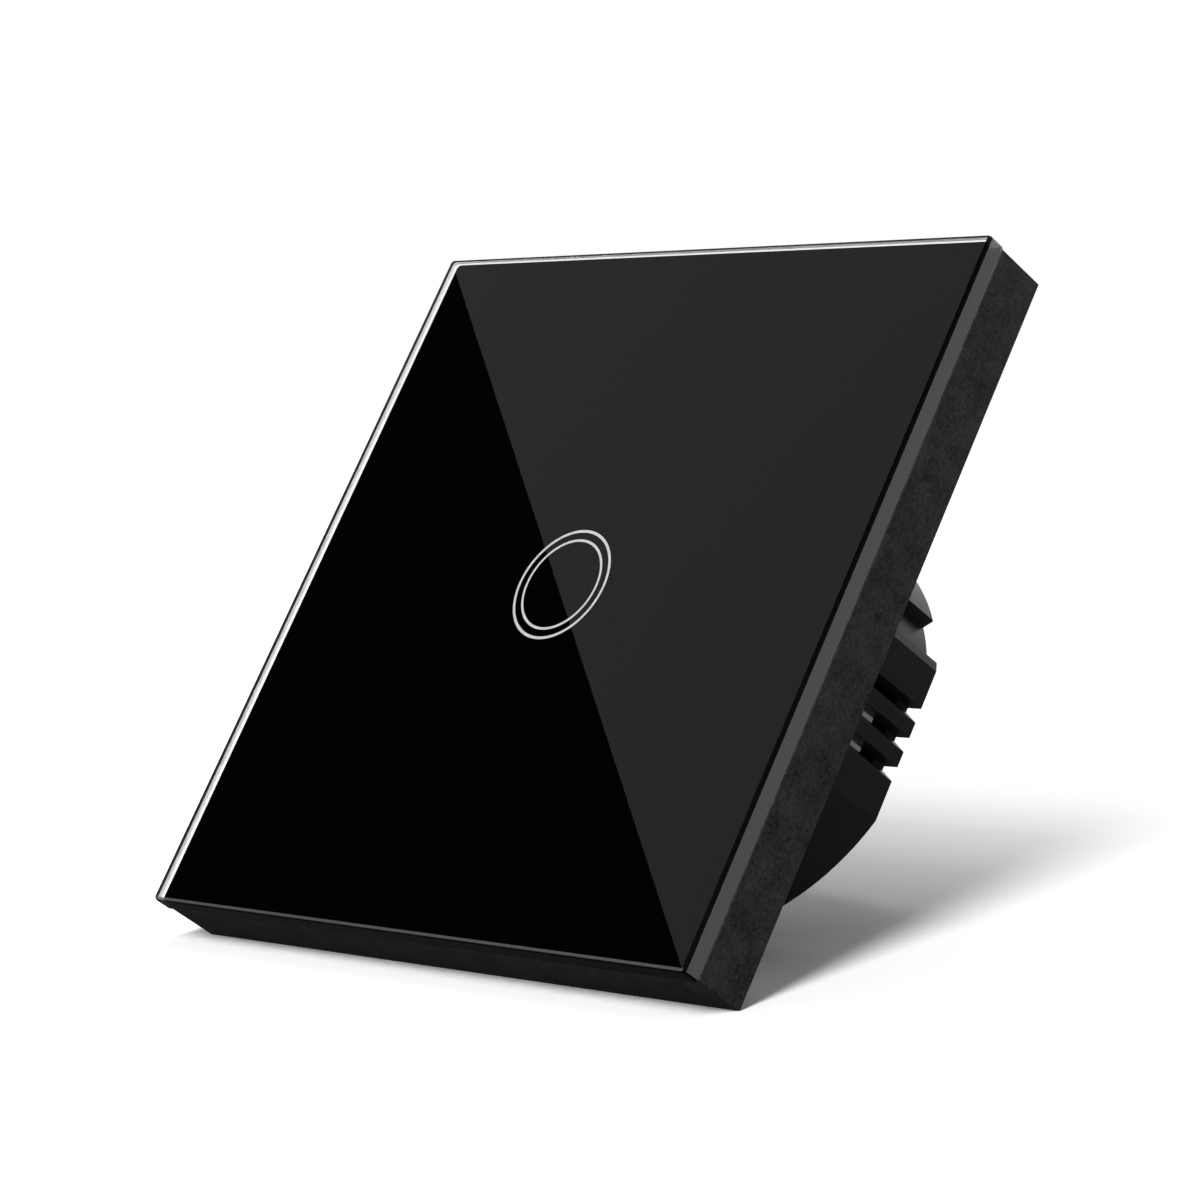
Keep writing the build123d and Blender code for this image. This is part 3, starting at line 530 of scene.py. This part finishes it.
def ground(name, outside, inside, shade, frost):
    """Ground glass edge with painted light and shade: dull grey from outside, painted for the dark inside
    seen through it, and from within the sheet a bright frost, partly painted light, behind a painted dark
    rim.
    """
    material, tree, shader = new_material(name, IOR=1.52, Transmission_Weight=0.5, Metallic=0.0)
    within = node(tree, "NewGeometry").outputs["Backfacing"]
    place = node(tree, "TexCoord").outputs["Object"]
    wheel = node(tree, "TexNoise", {"Vector": place, "Scale": 1200.0, "Detail": 3.0})
    gloss = maths(tree, "ADD", outside, maths(tree, "MULTIPLY", within, inside - outside))
    tree.links.new(maths(tree, "ADD", gloss, maths(tree, "MULTIPLY", wheel.outputs[0], 0.1), clamp=True),
                   shader.inputs["Roughness"])
    # Painted light and shade: from within, black near the front as a painted dark rim and bright frost behind
    # it; from outside, a dull grey painted for the dark inside.
    depth = node(tree, "SeparateXYZ", {0: place}).outputs[1]
    painted_rim_mask = ramp(tree, depth, glass_front + rim_depth, glass_front + rim_depth + rim_fade)
    seen_within = mixed(tree, painted_rim_mask, grey(0.0), (frost * 0.98, frost, frost * 0.99, 1.0))
    tree.links.new(mixed(tree, within, grey(shade), seen_within), shader.inputs["Base Color"])
    return material


glass_front = -8.63 * MM
# Depth and fade of the painted dark rim inside the ground sides.
rim_depth = 1.15 * MM
rim_fade = 0.2 * MM
polished_glass = glass("polished glass", 0.0, 0.01)
ground_glass = ground("ground glass", 0.2, 0.9, 0.16, 1.0)
# The dark finish is painted shade: black, without gloss, on the lower side and on the facets of the front
# edge.
painted_shade_edge = ground("painted shade glass edge", 0.1, 0.1, 0.002, 0.0)
painted_shade_edge.node_tree.nodes["Principled BSDF"].inputs["Specular IOR Level"].default_value = 0.0
print("glass finishes:", polished_glass.name, ground_glass.name, painted_shade_edge.name)

# %% [markdown]
# The sheet starts as a cube at its real size. The four edges that run from front to back are rounded, and the
# edge of the front is bevelled by two narrow facets. Its back lies a hair behind the front of the ink, so
# that no film of air shows between them. Each face gets its finish from the way it faces. Of the two facets
# along the lower edge, the front one is ground, and shows as a thin grey line. The lower side and all other
# facets get the dark finish, which is painted shade.

# %% Glass sheet
glass_size = 80.0 * MM
ink_front = -6.52 * MM
ink_overlap = 0.02 * MM
corner_radius = 0.5 * MM
front_bevel = 0.36 * MM
glass_back = ink_front + ink_overlap
bpy.ops.mesh.primitive_cube_add(
    size=1, location=(0, (glass_front + glass_back) / 2, 0),
    scale=(glass_size, glass_back - glass_front, glass_size))
glass_sheet = started("glass_sheet")
near = 0.01 * MM
pick(glass_sheet, lambda a, b: abs(a.y - b.y) > near, "EDGE")
bpy.ops.mesh.bevel(offset=corner_radius, segments=8, affect="EDGES")
done()
pick(glass_sheet, lambda a, b: max(a.y, b.y) < glass_front + near, "EDGE")
bpy.ops.mesh.bevel(offset=front_bevel, segments=2, affect="EDGES")
done()
coloured(glass_sheet, polished_glass, ground_glass, painted_shade_edge)
for face in glass_sheet.data.polygons:
    steep, down = -face.normal.y, -face.normal.z
    flat_side = steep < 0.1 and down < 0.6
    front_facet = steep > 0.7 and 0.3 < down < 0.7
    # Index 2, the dark finish, is painted shade on the lower side and the facets of the edge.
    face.material_index = 0 if abs(steep) > 0.99 else 1 if flat_side or front_facet else 2
smooth(glass_sheet, 15)
glass_sheet.visible_shadow = False
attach(glass_sheet, "front")
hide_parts("glass_panel")
print("glass faces", len(glass_sheet.data.polygons))

# %% [markdown]
# ## Black ink
# The ink covers the back of the glass but stops short of its edge, and less so at the top. Through the clear
# border the bright side of the glass shows, which widens the white line at the left. The solid of the ink
# has openings under the rings. Rings as thin as the printed ones wouldn't cover them, so a panel without
# openings, bevelled at its corners like the glass, takes its place.

# %% Black ink
ink_border = 0.45 * MM
ink_border_top = 0.2 * MM
ink_back = -6.4 * MM
ink_width = glass_size - 2 * ink_border
ink_height = glass_size - ink_border - ink_border_top
bpy.ops.mesh.primitive_cube_add(
    size=1, location=(0, (ink_front + ink_back) / 2, (ink_border - ink_border_top) / 2),
    scale=(ink_width, ink_back - ink_front, ink_height))
black_panel = started("black_panel")
pick(black_panel, lambda a, b: abs(a.y - b.y) > near, "EDGE")
bpy.ops.mesh.bevel(offset=corner_radius, segments=5, affect="EDGES")
done()
coloured(black_panel, black_ink)
smooth(black_panel, 30)
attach(black_panel, "front")
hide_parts("back_print")
print("ink border", round(ink_border / MM, 2), "mm")

# %% [markdown]
# ## Printed rings
# The rings are thin lines, so their outline has to stay round when the camera is close. A torus would be
# quicker, but a print is flat. Each is a circle of many points, extruded inwards to its width and thickened
# to a film.

# %% Rings
ring_bands = ((6.36 * MM, 6.09 * MM), (5.26 * MM, 5.02 * MM))
ring_points = 160
ring_film = 0.06 * MM
ring_lap = 0.02 * MM
ring_front = ink_front - 0.002 * MM
quarter = math.pi / 2


def ring(name, outer, inner):
    """Flat ring behind the glass, facing the room."""
    bpy.ops.mesh.primitive_circle_add(
        vertices=ring_points, radius=outer + ring_lap, rotation=(quarter, 0, 0),
        location=(0, ring_front + ring_film, 0))
    piece = started(name)
    pick(piece, lambda a, b: True, "EDGE")
    bpy.ops.mesh.extrude_edges_move()
    narrow = (inner - ring_lap) / (outer + ring_lap)
    bpy.ops.transform.resize(value=(narrow, 1, narrow), center_override=(0, ring_front, 0))
    bpy.ops.mesh.select_all(action="SELECT")
    bpy.ops.mesh.extrude_region_move(TRANSFORM_OT_translate={"value": (0, -ring_film, 0)})
    bpy.ops.mesh.select_all(action="SELECT")
    bpy.ops.mesh.normals_make_consistent(inside=False)
    done()
    coloured(piece, pale_ink)
    smooth(piece)
    return piece


rings = [ring(f"ring_{place + 1}", *band) for place, band in enumerate(ring_bands)]
only(rings[0])
rings[1].select_set(True)
bpy.ops.object.join()
rings = rings[0]
rings.name = "printed_rings"
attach(rings, "front")
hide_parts("ring_print")
print("rings", len(rings.data.polygons), "faces")

# %% [markdown]
# ## Clamping screws
# Each terminal screw has a rolled thread, a slot and a rounded rim on its head. The thread could be a bump,
# but it shows in the outline. So it is a small triangle that a Screw modifier sweeps round the core. Its
# pitch is 0.5 mm, so five turns lift a cage by 2.5 mm.

# %% Clamping screws
screw_places = ((-4.2 * MM, "screw_1", "terminal_screw_1"), (4.2 * MM, "screw_2", "terminal_screw_2"))
screw_height = -15.3 * MM
screw_tip, head_start, head_end = 13.12 * MM, 19.9 * MM, 21.6 * MM
head_radius, core_radius, crest_radius = 2.49 * MM, 1.22 * MM, 1.49 * MM
head_rounding, tip_rounding = 0.35 * MM, 0.3 * MM
slot_length, slot_width, slot_depth = 6 * MM, 0.8 * MM, 0.9 * MM
core_lap = 0.1 * MM
thread_start = 0.4 * MM
thread_pitch = 0.5 * MM
thread_turns = 12
thread_size = 0.24 * MM


def rod(name, radius, start, end, points=48):
    """Cylinder along Y round the origin axis."""
    bpy.ops.mesh.primitive_cylinder_add(vertices=points, radius=radius, depth=end - start,
                                        rotation=(quarter, 0, 0), location=(0, (start + end) / 2, 0))
    return started(name)


def clamp_screw(name, place):
    """Slotted screw with a thread, its tip rounded off."""
    head = rod(name, head_radius, head_start, head_end)
    pick(head, lambda a, b: min(a.y, b.y) > head_end - near, "EDGE")
    bpy.ops.mesh.bevel(offset=head_rounding, segments=4, affect="EDGES")
    done()
    bpy.ops.mesh.primitive_cube_add(size=1, location=(0, head_end, 0),
                                    scale=(slot_length, 2 * slot_depth, slot_width))
    cutter = started("slot_cutter")
    applied(head, "BOOLEAN", object=cutter, operation="DIFFERENCE")
    bpy.data.objects.remove(cutter)
    core = rod(name + "_core", core_radius, screw_tip, head_start + core_lap)
    pick(core, lambda a, b: max(a.y, b.y) < screw_tip + near, "EDGE")
    bpy.ops.mesh.bevel(offset=tip_rounding, segments=3, affect="EDGES")
    done()
    bpy.ops.mesh.primitive_circle_add(
        vertices=3, radius=thread_size, fill_type="NGON", rotation=(0, 0, -quarter),
        location=(crest_radius - thread_size, screw_tip + thread_start, 0))
    thread = started(name + "_thread")
    applied(thread, "SCREW", axis="Y", screw_offset=thread_pitch, iterations=thread_turns, steps=24,
            render_steps=24, use_merge_vertices=False)
    pick(thread, lambda a, b: True)
    bpy.ops.mesh.fill_holes(sides=3)
    bpy.ops.mesh.select_all(action="SELECT")
    bpy.ops.mesh.normals_make_consistent(inside=False)
    done()
    only(head)
    core.select_set(True)
    thread.select_set(True)
    bpy.ops.object.join()
    head.data.transform(Matrix.Translation((place, 0, screw_height)))
    coloured(head, screw_steel)
    smooth(head, 40)
    return head


for place, body, solid in screw_places:
    screw = clamp_screw("clamp_" + body, place)
    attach(screw, body)
    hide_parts(solid)
    print(screw.name, len(screw.data.polygons), "faces")

# %% [markdown]
# ## Touch spring
# The coil between the touch board and the glass is round wire. A curve with a round bevel could make it. The
# Screw modifier does it again, because its result is a clean mesh whose two ends are easy to close.

# %% Touch spring
wire_radius = 0.25 * MM
coil_radius = 3.41 * MM
coil_start = -4.25 * MM - wire_radius
coil_end = -6.08 * MM + wire_radius
coil_turns = 3
bpy.ops.mesh.primitive_circle_add(vertices=12, radius=wire_radius, fill_type="NGON",
                                  location=(coil_radius, coil_start, 0))
touch_coil = started("touch_coil")
applied(touch_coil, "SCREW", axis="Y", screw_offset=(coil_end - coil_start) / coil_turns,
        iterations=coil_turns, steps=40, render_steps=40)
pick(touch_coil, lambda a, b: True)
bpy.ops.mesh.fill_holes(sides=12)
bpy.ops.mesh.select_all(action="SELECT")
bpy.ops.mesh.normals_make_consistent(inside=False)
done()
coloured(touch_coil, touch_wire)
smooth(touch_coil, 50)
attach(touch_coil, "base")
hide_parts("touch_spring")
print("touch coil", len(touch_coil.data.polygons), "faces")

# %% [markdown]
# ## Finishes of the solids
# The other pieces keep their own solids, whose shapes are already right. Each gets the finish of what it is
# made of.

# %% Finishes of the solids
finishes = {
    "adhesive_tape": tape_black, "panel_frame": frame_black,
    "panel_clips": spring_steel, "mounting_plate": zinc_steel, "plate_screws": screw_steel,
    "front_carrier": carrier_black, "rear_housing": body_black, "touch_board": touch_lacquer,
    "touch_chip": chip_black, "touch_passives": ferrite_grey, "status_leds": lamp_yellow,
    "light_guide": guide_clear, "header_socket": strip_black,
    "board_header": strip_black, "power_board": power_lacquer, "relay": relay_blue,
    "film_capacitor": film_yellow, "bulk_capacitor": sleeve_black, "inductor": ferrite_grey,
    "varistor": varistor_blue, "fuse_resistor": resistor_grey, "bridge_rectifier": chip_black,
    "power_transistor": chip_black, "transistor_tab": tinned_copper, "terminal_block": block_grey,
    "terminal_contacts": nickel_brass, "terminal_cage_1": nickel_brass, "terminal_cage_2": nickel_brass,
}
for name, finish in finishes.items():
    coloured(nodes[name], finish)
print("solids with a finish:", len(finishes))

# %% [markdown]
# ## Light
# The photograph was lit from the upper left, over a white table in a white room. The world stands for the
# room. At full strength it would light the object from all sides and leave no shadow. So the camera,
# reflections and the glass see it at full white, but its light on the object is kept low, and a lamp does
# the rest.

# %% World
def seen_directly(tree):
    """1 for rays of the camera, of reflections and through glass, and 0 for rays that gather light."""
    paths = node(tree, "LightPath").outputs
    mirrored = maths(tree, "ADD", paths["Is Camera Ray"], paths["Is Glossy Ray"])
    return maths(tree, "ADD", mirrored, paths["Is Transmission Ray"], clamp=True)


world = bpy.data.worlds.new("studio")
bpy.context.scene.world = world
world.use_nodes = True
tree = world.node_tree
ambient = 0.22
strength = node(tree, "MapRange", {"Value": seen_directly(tree), "To Min": ambient, "To Max": 1.0})
background = tree.nodes["Background"]
background.inputs["Color"].default_value = grey(1.0)
tree.links.new(strength.outputs["Result"], background.inputs["Strength"])
print("light of the world on the object:", ambient)

# %% [markdown]
# The shadow falls away to the right. Its near edge is sharp and its far edge fades over a long way, so the
# lamp was tall and narrow. The sharp edge is the shadow of the upright side of the frame, and it stays sharp
# only if the whole lamp lies in one plane with that side. One area lamp of that shape would light the floor
# unevenly. A stack of small suns in that plane, from low to high, does what the tall lamp did, and lights
# the floor evenly.

# %% Tall lamp
lamp_total = 2.8
lamp_parts = ((22, 0.09), (27, 0.2), (33, 0.32), (40, 0.15), (48, 0.13), (58, 0.05), (70, 0.09))
lamp_width = 10
shadow_edge = Vector((-0.418, 0.765, 0.488)).normalized()
upright = Vector((0, 0, 1))
rise = (upright - shadow_edge * upright.dot(shadow_edge)).normalized()
for degrees, share in lamp_parts:
    height = math.radians(degrees)
    lamp_from = rise * math.sin(height) - shadow_edge * math.cos(height)
    bpy.ops.object.light_add(type="SUN")
    lamp = bpy.context.object
    lamp.name = f"tall_lamp_{degrees}"
    lamp.data.energy = lamp_total * share
    lamp.data.angle = math.radians(lamp_width)
    lamp.rotation_euler = lamp_from.to_track_quat("Z", "Y").to_euler()
    print(lamp.name, "elevation", round(math.degrees(math.asin(lamp_from.dot(floor_up))), 1))

# %% [markdown]
# The floor is plain white. The camera and the reflections see it a little brighter than the lamp makes it,
# which gives a white background without more light on the object. A glow would do it too, but it would
# lift the shadow. A second diffuse shader adds to what the lamp gives, so the shadow keeps its depth.

# %% Floor finish
floor_gain = 0.54
floor_finish, tree, shader = new_material("white table", Roughness=0.9)
shader.inputs["Specular IOR Level"].default_value = 0.0
place = node(tree, "TexCoord").outputs["Object"]
fibres = node(tree, "TexNoise", {"Vector": place, "Scale": 300.0, "Detail": 4.0})
tree.links.new(mixed(tree, fibres.outputs[0], grey(0.88), grey(0.9)), shader.inputs["Base Color"])
extra = node(tree, "BsdfDiffuse", {"Color": grey(floor_gain)})
brighter = node(tree, "AddShader", {0: shader.outputs[0], 1: extra.outputs[0]})
shown = node(tree, "MixShader", {0: seen_directly(tree), 1: shader.outputs[0], 2: brighter.outputs[0]})
clear = node(tree, "BsdfTransparent")
side = node(tree, "NewGeometry").outputs["Backfacing"]
both = node(tree, "MixShader", {0: side, 1: shown.outputs[0], 2: clear.outputs[0]})
tree.links.new(both.outputs[0], tree.nodes["Material Output"].inputs["Surface"])
coloured(floor, floor_finish)
print("floor gain", floor_gain)

# %% [markdown]
# ## Reflection cards
# What the glass mirrors decides how it looks: half of it mirrors something grey and half something dark,
# parted by a straight line from corner to corner. Two shades painted on the glass would look right from one
# place only. So two large cards stand outside the picture, where the camera sees them mirrored. Only shiny
# surfaces see them, and they give no light.

# %% Reflection cards
mirror_height = glass_front
seen_from = Vector((camera_place.x, 2 * mirror_height - camera_place.y, camera_place.z))
corner_high = Vector((-glass_size / 2, mirror_height, glass_size / 2))
corner_low = Vector((glass_size / 2, mirror_height, -glass_size / 2))
card_distance = 1.2
card_reach = 2.0


def finished_card(piece, level):
    """Give a card its plain brightness, and let only shiny surfaces see it."""
    material, tree, shader = new_material(piece.name)
    shader.inputs["Base Color"].default_value = grey(0.0)
    shader.inputs["Specular IOR Level"].default_value = 0.0
    shader.inputs["Emission Color"].default_value = grey(level)
    shader.inputs["Emission Strength"].default_value = 1.0
    coloured(piece, material)
    for ray in ("camera", "diffuse", "transmission", "volume_scatter", "shadow"):
        setattr(piece, "visible_" + ray, False)


def card(name, side, level):
    """Large card whose straight edge the camera sees mirrored along the diagonal of the glass."""
    middle = (corner_high + corner_low) / 2
    out = (middle - seen_from).normalized()
    along = (corner_low - corner_high).normalized()
    along = (along - out * along.dot(out)).normalized()
    away = out.cross(along) * side
    centre = seen_from + out * ((middle - seen_from).length + card_distance) + away * card_reach / 2
    bpy.ops.mesh.primitive_plane_add(size=card_reach)
    turn = Matrix((along, away, along.cross(away))).transposed().to_4x4()
    piece = bpy.context.object
    piece.name = name
    piece.data.transform(Matrix.Translation(centre) @ turn)
    finished_card(piece, level)


card("grey_card", 1, 0.31)
card("dark_card", -1, 0.0)
print("cards", card_distance, "m from the glass")

# %% [markdown]
# Another part of the room, behind the camera to the right, was dark, and a dark card stands for it. The bevel
# along the right edge of the glass looks that way, but it carries the dark finish of the lower side, so its
# darkness is painted shade.

# %% Dark side of the room
room_side = Vector((0.6, -0.73, 0.32)).normalized()
bpy.ops.mesh.primitive_plane_add(size=card_reach, rotation=room_side.to_track_quat("Z", "Y").to_euler(),
                                 location=room_side * card_distance)
finished_card(started("dark_room"), 0.0)
print("dark room towards", [round(value, 2) for value in room_side])

# %% [markdown]
# The right sides of the frame and of the rear body look along the table to the right, where the room was
# dark as well, so they get a dark card of their own.

# %% Dark card at the right
side_card_size = 0.4
side_card_place = (0.22, 0.16, 0.085)
bpy.ops.mesh.primitive_plane_add(size=side_card_size, rotation=(0, quarter, 0), location=side_card_place)
finished_card(started("dark_side"), 0.12)
print("dark card at", side_card_place)

# %% [markdown]
# The undersides mirror the table close by, which lies in the shadow of the switch. A dark sheet on the table,
# from just before the frame backwards and seen only in reflections, paints that shadow in: a painted shadow.

# %% Painted shadow sheet on the table
shadow_sheet_size = (0.1, 0.034)
shadow_sheet_lip = 6 * MM
shadow_sheet_lift = 0.1 * MM
back_along = Vector((0, math.cos(lean), math.sin(lean)))
shadow_sheet_edge = Vector((0.02, 0, -frame_half)) - back_along * shadow_sheet_lip
shadow_sheet_middle = shadow_sheet_edge + back_along * shadow_sheet_size[1] / 2 + floor_up * shadow_sheet_lift
bpy.ops.mesh.primitive_plane_add(size=1, rotation=(lean, 0, 0), location=shadow_sheet_middle, scale=(*shadow_sheet_size, 1))
# Painted shadow: a dark sheet that only reflections see, for the shaded table under the switch.
finished_card(started("dark_paper"), 0.06)
print("shadow_sheet", shadow_sheet_size, "m")

# %% [markdown]
# ## Result
# The Standard view keeps a white of 1 as white, which a filmic one would turn grey.

# %% View settings
bpy.context.scene.view_settings.view_transform = "Standard"
print("view:", bpy.context.scene.view_settings.view_transform)
